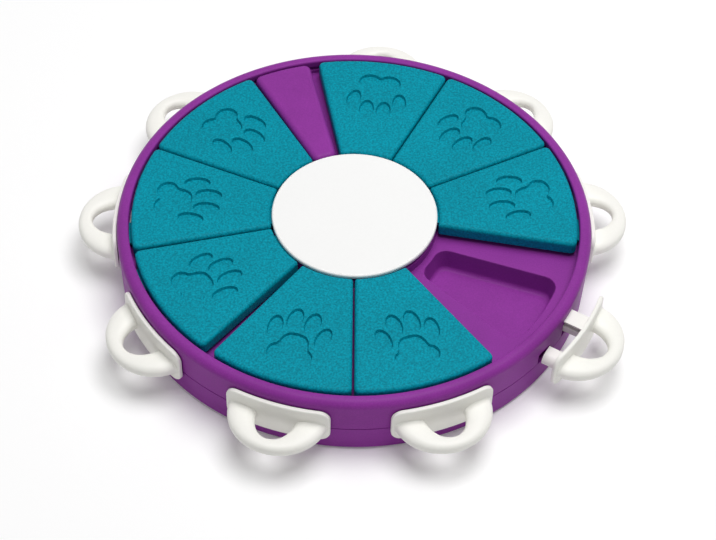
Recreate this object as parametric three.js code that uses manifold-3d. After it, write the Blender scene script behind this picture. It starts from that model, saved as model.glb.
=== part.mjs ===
// A round treat puzzle for a dog, in millimetres and degrees, with +Z up.
// The origin lies on the disc's axis, on the table under it.
// Angles run anticlockwise from +X, seen from above.
// A purple tray with nine wells carries eight turquoise blocks, which slide round a white hub.
// Nine white handles slide in and out through the tray's wall, and a cover closes it from below.

import * as THREE from 'three';
import { mergeVertices } from 'three/addons/utils/BufferGeometryUtils.js';
import Module from 'manifold-3d';

const wasm = await Module();
wasm.setup();

// Body
const bodyRadius = 128;
const bodyHeight = 38.8;
const footInset = 1;
const footRound = 3;
const wall = 2.2;

// Fits between the pieces
const seatGap = 0.3;
const runningGap = 0.4;
const overrun = 1;

// Rim, with a groove and a lip that guide the blocks
const rimBand = 6.6;
const rimRound = 4;
const rimEdge = 1;
const lipReach = 1.2;
const lipHeight = 4.2;
const innerRimWall = 1.6;

// Channel floor and wells
const channelDepth = 9.2;
const floorThickness = 2;
const wellPitch = 38.1;
const wellSpan = 24.8;
const wellHubGap = 3.3;
const wellRimGap = 6.6;
const wellDepth = 12.5;
const wellDraft = 1.6;
const wellCorner = 7;
const wellWall = 1.8;
const wellCount = 9;

// Fixed wedge that stops the blocks
const wedgeAngle = 111.65;
const wedgeSpan = 16.2;
const wedgeShoulder = 2.4;
const wedgeCorner = 4;
const wedgeEndGap = 0.4;

// Hub
const hubRadius = 44.7;
const hubThickness = 2.4;
const hubRound = 1.1;
const hubRise = 1;
const hubOverhang = 2.3;
const hubLedge = 2;
const hubBossRadius = 3.6;
const hubScrewCircle = 26;
const hubScrewCount = 3;

// Sliding blocks, which fill the channel but for the wedge, the gaps and one free span
const freeSpan = 43.1;
const blockInnerGap = 0.9;
const blockOuterGap = 1.3;
const blockSideGap = 0.35;
const blockTongueClearance = 1.3;
const blockBevel = 2.2;
const blockCorner = 3.2;
const blockInnerCorner = 1.6;
const blockWall = 2.2;
const blockTongueSpan = 26;
const blockTongueHeight = 2.2;
const blockTongueEndGap = 0.6;
const blockRibStart = 7;
const blockRibEnd = 14;
const blockRibHeight = 1.6;
const wedgeToFirstBlock = 0.8;
const lastBlockToWedge = 2.2;
const leftTrainGaps = [0.05, 0.3, 2.4, 0.2];
const rightTrainGaps = [0.05, 0.05];

// Handles
const pulledHandle = 6;
const pullEndGap = 1.6;
const plateSpan = 24.8;
const plateThickness = 2.2;
const plateLow = 11.2;
const plateTopGap = 5.9;
const plateCorner = 6;
const loopReach = 20.5;
const loopSideGap = 2;
const loopLegWidth = 15.5;
const loopFrontWidth = 7.5;
const loopDrop = 1.15;
const loopRootHeight = 9;
const loopTipHeight = 7;

// Prongs: a long tongue over the channel floor, a rib under it and a rounded bar beside them
const tongueStart = 0;
const tongueWidth = 9.5;
const tongueThickness = 1;
const tongueOverWell = 1.9;
const barbReach = 0.9;
const barbLength = 1.3;
const barTipGap = 0.6;
const ribHeight = 5.5;
const ribRound = 2.2;
const barSideGap = 5.6;
const barWidth = 8.6;
const barHeight = 6.6;
const barDrop = 2.4;
const barRound = 4.4;
const barSeamGap = 0.4;

// Screws and their posts
const screwRadius = 1.4;
const screwHeadRadius = 3.2;
const screwHeadHeight = 2.1;
const screwLength = 11;
const hubScrewLength = 9;
const pilotGap = 0.3;
const postRimGap = 28;
const postRadius = 5.2;
const postHeight = 8;
const postSeat = 5;
const headGap = 0.6;
const bossRadius = 4;
const bossWells = [0, 2, 4, 6];
const centrePostRadius = 16;

// How finely round shapes are cut into flats
const bodySegments = 72;
const smallSegments = 12;
const outerArcSteps = 6;
const innerArcSteps = 4;
const cornerSteps = 3;
const edgeSteps = 2;
const loopSteps = 12;
const loopSides = 8;

const rad = THREE.MathUtils.degToRad;

// Heights and radii that follow from the sizes above
const floorTop = bodyHeight - channelDepth;
const floorBottom = floorTop - floorThickness;
const rimInnerRadius = bodyRadius - rimBand;
const recessRadius = rimInnerRadius + lipReach;
const lipUnder = bodyHeight - lipHeight;
const hubTop = bodyHeight + hubRise;
const hubBottom = hubTop - hubThickness;
const pedestalRadius = hubRadius - hubOverhang;
const pedestalTop = hubBottom - seatGap;
const wellInnerRadius = hubRadius + wellHubGap;
const wellOuterRadius = rimInnerRadius - wellRimGap;
const blockGaps = [wedgeToFirstBlock, ...leftTrainGaps, lastBlockToWedge, ...rightTrainGaps];
const blockGapSum = blockGaps.reduce((sum, gap) => sum + gap);
const blockSpan = (360 - wedgeSpan - freeSpan - blockGapSum) / blockGaps.length;
const blockInnerRadius = hubRadius + blockInnerGap;
const blockOuterRadius = rimInnerRadius - blockOuterGap;
const blockTongueHigh = hubBottom - runningGap;
const blockTongueLow = blockTongueHigh - blockTongueHeight;
const blockRibHigh = lipUnder - lipReach / 2;
const blockRibLow = blockRibHigh - blockRibHeight;
const tongueLow = floorTop + seatGap;
const tongueHigh = tongueLow + tongueThickness;
const blockBottom = tongueHigh + blockTongueClearance;
const plateInnerRadius = bodyRadius + seatGap;
const plateOuterRadius = plateInnerRadius + plateThickness;
const plateMiddleRadius = (plateInnerRadius + plateOuterRadius) / 2;
const plateHalfWidth = plateOuterRadius * Math.sin(rad(plateSpan / 2));
const plateHigh = bodyHeight - plateTopGap;
const loopHalfWidth = plateHalfWidth - loopSideGap;
const loopWindowHalfWidth = loopHalfWidth - loopLegWidth;
const loopWindowReach = loopReach - loopFrontWidth;
const loopLevel = (plateLow + plateHigh) / 2 - loopDrop;
const tongueTip = wellOuterRadius - tongueOverWell;
const tongueBarbEnd = tongueTip + barbLength;
const handlePull = bodyRadius - wall - tongueBarbEnd - pullEndGap;
const barTip = wellOuterRadius + wellWall + barTipGap;
const barStart = barSideGap - plateHalfWidth;
const ribHigh = floorBottom - seatGap;
const ribLow = ribHigh - ribHeight;
const barHigh = ribHigh - barDrop;
const barLow = barHigh - barHeight;
const seamHeight = barLow - barSeamGap;
const postCircle = bodyRadius - postRimGap;
const wedgeSector = 360 - wellCount * wellPitch;

function wellAngle(index) {
  return wedgeAngle + wedgeSector / 2 + (index + 0.5) * wellPitch;
}

function wallRadiusAt(height) {
  return bodyRadius - footInset * (1 - height / bodyHeight);
}

// Closed meshes, and cutting and joining them

function signedVolume(position, index) {
  const a = new THREE.Vector3();
  const b = new THREE.Vector3();
  const c = new THREE.Vector3();
  let sum = 0;
  for (let i = 0; i < index.length; i += 3) {
    a.fromBufferAttribute(position, index[i]);
    b.fromBufferAttribute(position, index[i + 1]);
    c.fromBufferAttribute(position, index[i + 2]);
    sum += a.dot(b.cross(c));
  }
  return sum / 6;
}

function toSolid(geometry) {
  geometry.deleteAttribute('normal');
  geometry.deleteAttribute('uv');
  const merged = mergeVertices(geometry);
  const position = merged.getAttribute('position');
  const corners = [];
  for (let i = 0; i < merged.index.count; i += 3) {
    const triangle = [0, 1, 2].map((corner) => merged.index.getX(i + corner));
    if (new Set(triangle).size === 3) corners.push(...triangle);
  }
  if (signedVolume(position, corners) < 0) corners.reverse();
  const mesh = new wasm.Mesh({
    numProp: 3,
    vertProperties: new Float32Array(position.array),
    triVerts: new Uint32Array(corners),
  });
  return new wasm.Manifold(mesh);
}

function toGeometry(solid) {
  const mesh = solid.getMesh();
  const geometry = new THREE.BufferGeometry();
  geometry.setAttribute('position', new THREE.BufferAttribute(mesh.vertProperties, 3));
  geometry.setIndex(new THREE.BufferAttribute(mesh.triVerts, 1));
  geometry.computeVertexNormals();
  return geometry;
}

function joined(...solids) {
  return solids.reduce((whole, solid) => whole.add(solid));
}

function cut(solid, ...tools) {
  return tools.reduce((rest, tool) => rest.subtract(tool), solid);
}

// Shapes that several pieces share

function revolved(points, segments) {
  const profile = points.map(([radius, height]) => new THREE.Vector2(radius, height));
  const lathe = new THREE.LatheGeometry(profile, segments);
  return toSolid(lathe.rotateX(Math.PI / 2));
}

function flatRing(inner, outer, low, high) {
  return revolved([
    [inner, low],
    [outer, low],
    [outer, high],
    [inner, high],
    [inner, low],
  ], bodySegments);
}

function cylinder(radius, low, high, x = 0, y = 0) {
  const geometry = new THREE.CylinderGeometry(radius, radius, high - low, smallSegments);
  geometry.rotateX(Math.PI / 2);
  return toSolid(geometry.translate(x, y, (low + high) / 2));
}

function box(x0, x1, y0, y1, z0, z1, angle = 0) {
  const geometry = new THREE.BoxGeometry(x1 - x0, y1 - y0, z1 - z0);
  geometry.translate((x0 + x1) / 2, (y0 + y1) / 2, (z0 + z1) / 2);
  return toSolid(geometry.rotateZ(rad(angle)));
}

function arcPoints(x, y, radius, start, end, steps) {
  const points = [];
  for (let i = 0; i <= steps; i += 1) {
    const angle = start + ((end - start) * i) / steps;
    points.push(new THREE.Vector2(x + radius * Math.cos(angle), y + radius * Math.sin(angle)));
  }
  return points;
}

function edgeRound(radius, height, round, start, end) {
  return arcPoints(radius, height, round, start, end, edgeSteps).map((point) => point.toArray());
}

// A slice of a ring about the +X direction, with rounded corners, moved in from its outline by inset.
// The corners nearer the axis can have a rounding of their own.
function sectorOutline(inner, outer, span, corner, inset, innerCorner = corner) {
  const half = rad(span) / 2;
  const outerRound = Math.max(corner - inset, corner / 4);
  const innerRound = Math.max(innerCorner - inset, innerCorner / 4);
  const outerCentre = outer - inset - outerRound;
  const innerCentre = inner + inset + innerRound;
  const outerAngle = half - Math.asin((inset + outerRound) / outerCentre);
  const innerAngle = half - Math.asin((inset + innerRound) / innerCentre);
  const upper = half + Math.PI / 2;
  const cornerAt = (radius, angle, round, start, end) =>
    arcPoints(radius * Math.cos(angle), radius * Math.sin(angle), round, start, end, cornerSteps);
  const outerCorner = (angle, start, end) => cornerAt(outerCentre, angle, outerRound, start, end);
  const nearCorner = (angle, start, end) => cornerAt(innerCentre, angle, innerRound, start, end);
  return [
    ...arcPoints(0, 0, outer - inset, -outerAngle, outerAngle, outerArcSteps),
    ...outerCorner(outerAngle, outerAngle, upper).slice(1),
    ...nearCorner(innerAngle, upper, innerAngle + Math.PI),
    ...arcPoints(0, 0, inner + inset, innerAngle, -innerAngle, innerArcSteps).slice(1),
    ...nearCorner(-innerAngle, Math.PI - innerAngle, 2 * Math.PI - upper).slice(1),
    ...outerCorner(-outerAngle, -upper, -outerAngle).slice(0, -1),
  ];
}

// A closed body through a stack of outlines with equally many points, each [points, height]
function stacked(layers, angle = 0) {
  const count = layers[0][0].length;
  const positions = [];
  const index = [];
  for (const [points, height] of layers) {
    for (const point of points) positions.push(point.x, point.y, height);
  }
  for (let layer = 0; layer + 1 < layers.length; layer += 1) {
    for (let i = 0; i < count; i += 1) {
      const a = layer * count + i;
      const b = layer * count + ((i + 1) % count);
      index.push(a, b, b + count, a, b + count, a + count);
    }
  }
  const top = (layers.length - 1) * count;
  for (const [a, b, c] of THREE.ShapeUtils.triangulateShape(layers[0][0], [])) {
    index.push(a, c, b);
  }
  for (const [a, b, c] of THREE.ShapeUtils.triangulateShape(layers[layers.length - 1][0], [])) {
    index.push(top + a, top + b, top + c);
  }
  const geometry = new THREE.BufferGeometry();
  geometry.setAttribute('position', new THREE.Float32BufferAttribute(positions, 3));
  geometry.setIndex(index);
  return toSolid(geometry.rotateZ(rad(angle)));
}

function sector(inner, outer, span, corner, low, high, angle = 0) {
  const outline = sectorOutline(inner, outer, span, corner, 0);
  return stacked([[outline, low], [outline, high]], angle);
}

// A bar along +X whose section is a rectangle with its own radius at each corner, lower left first
function bar(x0, x1, y0, y1, z0, z1, rounds) {
  const [lowLeft, lowRight, highRight, highLeft] = rounds;
  const quarter = Math.PI / 2;
  const points = [
    ...arcPoints(y0 + lowLeft, z0 + lowLeft, lowLeft, 2 * quarter, 3 * quarter, cornerSteps),
    ...arcPoints(y1 - lowRight, z0 + lowRight, lowRight, 3 * quarter, 4 * quarter, cornerSteps),
    ...arcPoints(y1 - highRight, z1 - highRight, highRight, 0, quarter, cornerSteps),
    ...arcPoints(y0 + highLeft, z1 - highLeft, highLeft, quarter, 2 * quarter, cornerSteps),
  ];
  const shape = new THREE.Shape(points);
  const geometry = new THREE.ExtrudeGeometry(shape, { depth: x1 - x0, bevelEnabled: false });
  geometry.rotateX(Math.PI / 2);
  geometry.rotateZ(Math.PI / 2);
  return toSolid(geometry.translate(x0, 0, 0));
}

// Tray: rim, channel floor, hub pedestal, wells, wedge, slots for the prongs and bosses for the screws

function trayRing() {
  const hollowRadius = recessRadius + innerRimWall;
  const hollowTop = bodyHeight - wall;
  const seamRadius = wallRadiusAt(seamHeight);
  return revolved([
    [0, floorTop],
    [pedestalRadius - wall, floorTop],
    [pedestalRadius - wall, pedestalTop],
    [pedestalRadius, pedestalTop],
    [pedestalRadius, blockTongueLow - seatGap],
    [pedestalRadius + hubLedge, blockTongueLow - seatGap],
    [pedestalRadius + hubLedge, floorTop],
    [rimInnerRadius, floorTop],
    [rimInnerRadius, blockRibLow - seatGap],
    [recessRadius, blockRibLow - seatGap],
    [recessRadius, blockRibHigh],
    [rimInnerRadius, lipUnder],
    ...edgeRound(rimInnerRadius + rimEdge, bodyHeight - rimEdge, rimEdge, Math.PI, Math.PI / 2),
    ...edgeRound(bodyRadius - rimRound, bodyHeight - rimRound, rimRound, Math.PI / 2, 0),
    [seamRadius, seamHeight],
    [seamRadius - wall, seamHeight],
    [bodyRadius - wall, hollowTop],
    [hollowRadius, hollowTop],
    [hollowRadius, floorBottom],
    [0, floorBottom],
  ], bodySegments);
}

function wellShape(grow, low, high, angle) {
  const draftAt = (height) => (wellDraft * (floorTop - height)) / wellDepth - grow;
  const outline = (height) =>
    sectorOutline(wellInnerRadius, wellOuterRadius, wellSpan, wellCorner, draftAt(height));
  return stacked([[outline(low), low], [outline(high), high]], angle);
}

function wellCups() {
  const cups = [];
  for (let i = 0; i < wellCount; i += 1) {
    const low = floorTop - wellDepth - wellWall;
    cups.push(wellShape(wellWall, low, floorTop - floorThickness / 2, wellAngle(i)));
  }
  return cups;
}

function wellHollows() {
  const hollows = [];
  for (let i = 0; i < wellCount; i += 1) {
    hollows.push(wellShape(0, floorTop - wellDepth, floorTop + overrun, wellAngle(i)));
  }
  return hollows;
}

function wedgeOutline(inset) {
  const inner = blockInnerRadius;
  const outer = rimInnerRadius - wedgeEndGap;
  return sectorOutline(inner, outer, wedgeSpan, wedgeCorner, inset);
}

function wedge() {
  return stacked([
    [wedgeOutline(0), floorBottom + floorThickness / 2],
    [wedgeOutline(wedgeShoulder / 4), bodyHeight - wedgeShoulder],
    [wedgeOutline(wedgeShoulder / 2), bodyHeight - wedgeShoulder / 3],
    [wedgeOutline(wedgeShoulder), bodyHeight],
  ], wedgeAngle);
}

function wedgeHollow() {
  const outline = wedgeOutline(wall + wedgeShoulder / 4);
  return stacked([[outline, floorBottom - overrun], [outline, bodyHeight - wall]], wedgeAngle);
}

function prongSlots(angle) {
  const outside = plateInnerRadius + overrun;
  const tongueEnd = tongueStart + tongueWidth;
  const slotTop = tongueHigh + seatGap;
  const insideWall = bodyRadius - wall;
  const below = seamHeight - overrun;
  const slot = (inner, outer, start, end, low, high, gap) =>
    box(inner, outer, start - gap, end + gap, low, high, angle);
  const barbGap = barbReach + seatGap;
  const barEnd = barStart + barWidth;
  return [
    slot(blockOuterRadius, insideWall, tongueStart, tongueEnd, floorTop, slotTop, barbGap),
    slot(insideWall - overrun, outside, tongueStart, tongueEnd, floorTop, slotTop, seatGap),
    slot(barTip, outside, tongueStart, tongueEnd, below, ribHigh + seatGap, seatGap),
    slot(barTip, outside, barStart, barEnd, below, barHigh + seatGap, seatGap),
  ];
}

// The screws stand between wells, and one under the wedge
function screwAngles() {
  return [wedgeAngle, ...bossWells.map((index) => wellAngle(index) + wellPitch / 2)];
}

function hubScrewAngles() {
  const angles = [];
  for (let i = 0; i < hubScrewCount; i += 1) angles.push((360 / hubScrewCount) * i);
  return angles;
}

function onCircle(radius, angle) {
  return [radius * Math.cos(rad(angle)), radius * Math.sin(rad(angle))];
}

function trayBosses() {
  const low = postHeight + seatGap;
  return screwAngles().map((angle) => {
    const high = angle === wedgeAngle ? bodyHeight - wall / 2 : floorTop - floorThickness / 2;
    return cylinder(bossRadius, low, high, ...onCircle(postCircle, angle));
  });
}

function trayHoles() {
  const low = postHeight - overrun;
  const high = postSeat + screwLength + seatGap;
  const pilots = screwAngles().map((angle) =>
    cylinder(screwRadius + pilotGap, low, high, ...onCircle(postCircle, angle)));
  const under = floorBottom - overrun;
  const hubHoles = hubScrewAngles().map((angle) =>
    cylinder(screwRadius + pilotGap, under, floorTop + overrun, ...onCircle(hubScrewCircle, angle)));
  return [...pilots, ...hubHoles];
}

function traySolid() {
  const slots = [];
  for (let i = 0; i < wellCount; i += 1) slots.push(...prongSlots(wellAngle(i)));
  const shell = cut(joined(trayRing(), ...wellCups(), wedge()), wedgeHollow());
  return cut(joined(shell, ...trayBosses()), ...wellHollows(), ...slots, ...trayHoles());
}

// Base cover: a dish with posts for the screws and one under the hub

function baseSolid() {
  const seam = seamHeight - seatGap;
  const seamRadius = wallRadiusAt(seam);
  const footRadius = wallRadiusAt(0);
  const dish = revolved([
    [0, 0],
    [footRadius - footRound, 0],
    [footRadius - footRound / 3, footRound / 3],
    [footRadius, footRound],
    [seamRadius, seam],
    [seamRadius - wall, seam],
    [footRadius - wall, wall + footRound],
    [footRadius - wall - footRound, wall],
    [0, wall],
  ], bodySegments);
  const posts = screwAngles().map((angle) =>
    cylinder(postRadius, wall / 2, postHeight, ...onCircle(postCircle, angle)));
  const centrePost = cut(
    cylinder(centrePostRadius, wall / 2, floorBottom - seatGap),
    cylinder(centrePostRadius - wall, wall, floorBottom),
  );
  const seats = screwAngles().map((angle) =>
    cylinder(screwHeadRadius + headGap, -overrun, postSeat, ...onCircle(postCircle, angle)));
  const holes = screwAngles().map((angle) =>
    cylinder(screwRadius + pilotGap, 0, postHeight + overrun, ...onCircle(postCircle, angle)));
  return cut(joined(dish, centrePost, ...posts), ...seats, ...holes);
}

// Hub: a bare white disc with three bosses

function hubSolid() {
  const disc = revolved([
    [0, hubBottom],
    [hubRadius - hubRound / 2, hubBottom],
    [hubRadius, hubBottom + hubRound / 2],
    [hubRadius, hubTop - hubRound],
    [hubRadius - hubRound / 3, hubTop - hubRound / 3],
    [hubRadius - hubRound, hubTop],
    [0, hubTop],
  ], bodySegments);
  const low = floorTop + seatGap;
  const bosses = hubScrewAngles().map((angle) =>
    cylinder(hubBossRadius, low, hubBottom + hubThickness / 2, ...onCircle(hubScrewCircle, angle)));
  const pilots = hubScrewAngles().map((angle) =>
    cylinder(screwRadius + pilotGap, low - overrun, hubBottom, ...onCircle(hubScrewCircle, angle)));
  return cut(joined(disc, ...bosses), ...pilots);
}

// Screw, head down, built on the axis with its head's bearing face at the height called seat

function screwSolid(seat, length) {
  const head = cylinder(screwHeadRadius, seat - screwHeadHeight, seat);
  return joined(head, cylinder(screwRadius, seat - screwHeadHeight / 2, seat + length));
}

// Sliding block: a bevelled shell open below, above the prongs that reach over the floor.
// Its tongue rides on the ledge under the hub, and its two ribs ride in the rim's groove.
// Its sides stand in from the edges of its share of the ring, so the gap to the next is even.

function blockOutline(inset) {
  const side = blockSideGap;
  const inner = blockInnerRadius - side;
  const outer = blockOuterRadius + side;
  const corner = blockCorner + side;
  return sectorOutline(inner, outer, blockSpan, corner, side + inset, blockInnerCorner + side);
}

function blockSolid() {
  const bevelFoot = hubTop - blockBevel;
  const shell = stacked([
    [blockOutline(0), blockBottom],
    [blockOutline(0), bevelFoot],
    [blockOutline(blockBevel / 4), hubTop - blockBevel / 4],
    [blockOutline(blockBevel), hubTop],
  ]);
  const hollow = stacked([
    [blockOutline(blockWall), blockBottom - overrun],
    [blockOutline(blockWall), hubTop - blockWall],
  ]);
  const tongue = sector(
    pedestalRadius + blockTongueEndGap, blockInnerRadius + blockWall / 2,
    blockTongueSpan, blockWall / 2, blockTongueLow, blockTongueHigh,
  );
  const ribs = [-1, 1].map((side) => sector(
    blockOuterRadius - blockWall / 2, recessRadius - runningGap,
    blockRibEnd - blockRibStart, blockWall / 4,
    blockRibLow, blockRibHigh, (side * (blockRibStart + blockRibEnd)) / 2,
  ));
  return joined(cut(shell, hollow), tongue, ...ribs);
}

function blockAngles() {
  const left = [wedgeAngle + wedgeSpan / 2 + wedgeToFirstBlock + blockSpan / 2];
  for (const gap of leftTrainGaps) left.push(left[left.length - 1] + blockSpan + gap);
  const right = [wedgeAngle - wedgeSpan / 2 - lastBlockToWedge - blockSpan / 2];
  for (const gap of rightTrainGaps) right.push(right[right.length - 1] - blockSpan - gap);
  return [...left, ...right.reverse()];
}

// Handle, built along +X: a curved plate, a D-shaped loop and the prongs

function handlePlate() {
  const shell = flatRing(plateInnerRadius, plateOuterRadius, plateLow - overrun, plateHigh + overrun);
  const rounds = [plateCorner, plateCorner, plateCorner, plateCorner];
  const front = plateOuterRadius + overrun;
  const side = plateHalfWidth;
  return shell.intersect(bar(bodyRadius / 2, front, -side, side, plateLow, plateHigh, rounds));
}

function loopSection(turn) {
  const along = Math.sin(turn);
  const across = Math.cos(turn);
  const rootAt = (halfWidth) => Math.sqrt(plateMiddleRadius ** 2 - halfWidth ** 2);
  const edge = (halfWidth, reach) => {
    const root = rootAt(halfWidth);
    return new THREE.Vector2(root + (plateOuterRadius + reach - root) * along, halfWidth * across);
  };
  const outer = edge(loopHalfWidth, loopReach);
  const inner = edge(loopWindowHalfWidth, loopWindowReach);
  const half = THREE.MathUtils.lerp(loopRootHeight, loopTipHeight, along) / 2;
  const middle = outer.clone().add(inner).divideScalar(2);
  const reach = outer.clone().sub(inner).divideScalar(2);
  const ring = [];
  for (let i = 0; i < loopSides; i += 1) {
    const angle = (2 * Math.PI * i) / loopSides;
    const point = middle.clone().addScaledVector(reach, Math.cos(angle));
    ring.push(new THREE.Vector3(point.x, point.y, loopLevel + half * Math.sin(angle)));
  }
  return ring;
}

function handleLoop() {
  const positions = [];
  const index = [];
  for (let step = 0; step <= loopSteps; step += 1) {
    for (const point of loopSection((Math.PI * step) / loopSteps)) positions.push(...point.toArray());
  }
  for (let step = 0; step < loopSteps; step += 1) {
    for (let i = 0; i < loopSides; i += 1) {
      const a = step * loopSides + i;
      const b = step * loopSides + ((i + 1) % loopSides);
      index.push(a, b, b + loopSides, a, b + loopSides, a + loopSides);
    }
  }
  const last = loopSteps * loopSides;
  for (let i = 1; i + 1 < loopSides; i += 1) {
    index.push(0, i + 1, i);
    index.push(last, last + i, last + i + 1);
  }
  const geometry = new THREE.BufferGeometry();
  geometry.setAttribute('position', new THREE.Float32BufferAttribute(positions, 3));
  geometry.setIndex(index);
  return toSolid(geometry);
}

function handleProngs() {
  const tongueEnd = tongueStart + tongueWidth;
  const barEnd = barStart + barWidth;
  const root = plateMiddleRadius;
  const barRoot = Math.sqrt(plateMiddleRadius ** 2 - barStart ** 2);
  const small = ribRound / 4;
  const barbLeft = tongueEnd + barbReach;
  return [
    box(tongueTip, root, tongueStart, tongueEnd, tongueLow, tongueHigh),
    box(tongueTip, tongueBarbEnd, tongueStart - barbReach, barbLeft, tongueLow, tongueHigh),
    bar(barTip, root, tongueStart, tongueEnd, ribLow, ribHigh, [ribRound, ribRound, small, small]),
    bar(barTip, barRoot, barStart, barEnd, barLow, barHigh, [ribRound, small, small, barRound]),
  ];
}

function handleSolid() {
  return joined(handlePlate(), handleLoop(), ...handleProngs());
}

// Scene graph

function material(color, roughness) {
  return new THREE.MeshStandardMaterial({ color, roughness, metalness: 0 });
}

const purple = () => material('#7a2a8c', 0.45);
const turquoise = () => material('#0a93a5', 0.6);
const white = () => material('#f4f4ee', 0.4);
const steel = () => new THREE.MeshStandardMaterial({ color: '#b9bcc0', roughness: 0.35, metalness: 1 });

function piece(name, geometry, look, angle = 0, shift = 0) {
  const mesh = new THREE.Mesh(geometry, look);
  mesh.name = name;
  mesh.rotation.z = rad(angle);
  mesh.position.set(shift * Math.cos(rad(angle)), shift * Math.sin(rad(angle)), 0);
  return mesh;
}

const toy = new THREE.Group();
toy.add(piece('tray', toGeometry(traySolid()), purple()));
toy.add(piece('base_cover', toGeometry(baseSolid()), purple()));
toy.add(piece('hub_cap', toGeometry(hubSolid()), white()));

const baseScrewGeometry = toGeometry(screwSolid(postSeat - seatGap, screwLength));
screwAngles().forEach((angle, i) => {
  toy.add(piece(`base_screw_${i + 1}`, baseScrewGeometry.clone(), steel(), angle, postCircle));
});

const hubScrewGeometry = toGeometry(screwSolid(floorBottom - seatGap, hubScrewLength));
hubScrewAngles().forEach((angle, i) => {
  toy.add(piece(`hub_screw_${i + 1}`, hubScrewGeometry.clone(), steel(), angle, hubScrewCircle));
});

const blockGeometry = toGeometry(blockSolid());
blockAngles().forEach((angle, i) => {
  toy.add(piece(`sliding_block_${i + 1}`, blockGeometry.clone(), turquoise(), angle));
});

const handleGeometry = toGeometry(handleSolid());
for (let i = 0; i < wellCount; i += 1) {
  const shift = i + 1 === pulledHandle ? handlePull : 0;
  toy.add(piece(`pull_handle_${i + 1}`, handleGeometry.clone(), white(), wellAngle(i), shift));
}

export default toy;
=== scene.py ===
"""A round treat puzzle for a dog, dressed for rendering over its packed model.

Everything is in metres, with the origin on the disc's axis at the level it rests on and +Z up.
Angles run anticlockwise from +X, seen from above.
"""

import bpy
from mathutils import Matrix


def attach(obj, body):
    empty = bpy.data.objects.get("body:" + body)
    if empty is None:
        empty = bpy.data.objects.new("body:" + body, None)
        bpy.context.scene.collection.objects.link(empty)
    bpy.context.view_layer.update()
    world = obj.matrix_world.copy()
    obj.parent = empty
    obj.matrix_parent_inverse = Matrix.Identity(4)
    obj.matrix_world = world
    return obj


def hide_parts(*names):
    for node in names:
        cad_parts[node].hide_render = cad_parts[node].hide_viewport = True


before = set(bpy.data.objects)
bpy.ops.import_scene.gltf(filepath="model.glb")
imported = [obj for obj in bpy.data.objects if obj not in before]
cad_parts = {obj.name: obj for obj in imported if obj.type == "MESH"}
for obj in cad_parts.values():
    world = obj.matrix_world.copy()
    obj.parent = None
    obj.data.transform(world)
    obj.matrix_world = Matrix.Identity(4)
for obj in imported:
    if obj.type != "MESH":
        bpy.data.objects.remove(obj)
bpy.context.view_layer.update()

import math

import bmesh
import bpy
from mathutils import Matrix, Vector

bl_info = {
    "name": "Treat puzzle",
    "version": (1, 0, 0),
    "blender": (4, 5, 0),
    "location": "3D View > Sidebar > Treat puzzle",
    "description": "Builds a round sliding-block treat puzzle for a dog",
    "category": "Object",
}

BLOCK_NAMES = sorted(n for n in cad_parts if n.startswith("sliding_block_"))
HANDLE_NAMES = sorted(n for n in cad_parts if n.startswith("pull_handle_"))
PULLED_HANDLE = "pull_handle_6"
FULL_TURN = 2 * math.pi

# Gaps in degrees from the wedge to the first block's share of the ring and from share to share
LEFT_GAPS = (0.8, 0.05, 0.3, 2.4, 0.2)
RIGHT_GAPS = (2.2, 0.05, 0.05)

# The paw print in metres from its pad's middle, outwards and across: the toes with their length,
# width and lean in degrees, and half of the pad's outline from its heel outwards
PAW_TOES = ((-0.0110, -0.0130, 0.0140, 0.0075, 6), (-0.0184, -0.0048, 0.0142, 0.0079, 0),
            (-0.0184, 0.0048, 0.0142, 0.0079, 0), (-0.0110, 0.0130, 0.0140, 0.0075, -6))
PAW_PAD = ((-0.0098, 0.0), (-0.0092, 0.0038), (-0.0076, 0.0058), (-0.0056, 0.0069),
           (-0.0031, 0.0076), (-0.0012, 0.0084), (0.0001, 0.0102), (0.0021, 0.0115),
           (0.0046, 0.0117), (0.0074, 0.0106), (0.0093, 0.0080), (0.0098, 0.0052),
           (0.0091, 0.0024), (0.0078, 0.0))

# The wells that have one of the cover's screws beside them, and the number of the hub's screws
SCREW_WELLS = (0, 2, 4, 6)
HUB_SCREWS = 3

# Fineness of round shapes, in flats
DISC_FLATS = 240
POST_FLATS = 96
ARC_FLATS = 40
CORNER_FLATS = 8
EDGE_FLATS = 6
SCREW_FLATS = 32
LOOP_STEPS = 56
LOOP_SIDES = 32
SHARP_ANGLE = math.radians(32)

# The radius that adds a flat to a rounding, how far tools reach past what they cut, and how near
# points are merged
ROUND_STEP = 0.00035
OVERRUN = 0.001
MERGE_DISTANCE = 1e-7

# The power that squares the loops' section, and the edge, cross and random turn of a screw's head
LOOP_SQUARENESS = 0.8
HEAD_EDGE = 0.000125
CROSS_ARM_SHARE = 0.6
CROSS_HALF_WIDTH_SHARE = 0.11
SCREW_SEED = 7

# The parts of the noise that give the plastics' specks and clouds, a cloud's size in grains, the
# share by which their roughness varies, and the size and roughness of the plating's haze
SPECK_RANGE = (0.36, 0.68)
CLOUD_RANGE = (0.3, 0.7)
CLOUD_GRAINS = 40
ROUGHNESS_SPREAD = 0.12
HAZE_SIZE = 0.0012
HAZE_ROUGHNESS = (0.24, 0.42)


# Sizes and colours that a user would change

def number(name, description, default, **kind):
    return bpy.props.FloatProperty(name=name, description=description, default=default, **kind)


def length(name, description, default):
    return number(name, description, default, unit="LENGTH", precision=4)


def turn(name, description, degrees):
    return number(name, description, math.radians(degrees), unit="ROTATION")


def vector(name, description, default, **kind):
    return bpy.props.FloatVectorProperty(
        name=name, description=description, size=3, default=default, **kind)


def srgb(code):
    """The linear colour of an sRGB hex code such as 8c3a99."""
    channels = [int(code[i:i + 2], 16) / 255 for i in (0, 2, 4)]
    linear = [c / 12.92 if c <= 0.04045 else ((c + 0.055) / 1.055) ** 2.4 for c in channels]
    return (*linear, 1.0)


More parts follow.
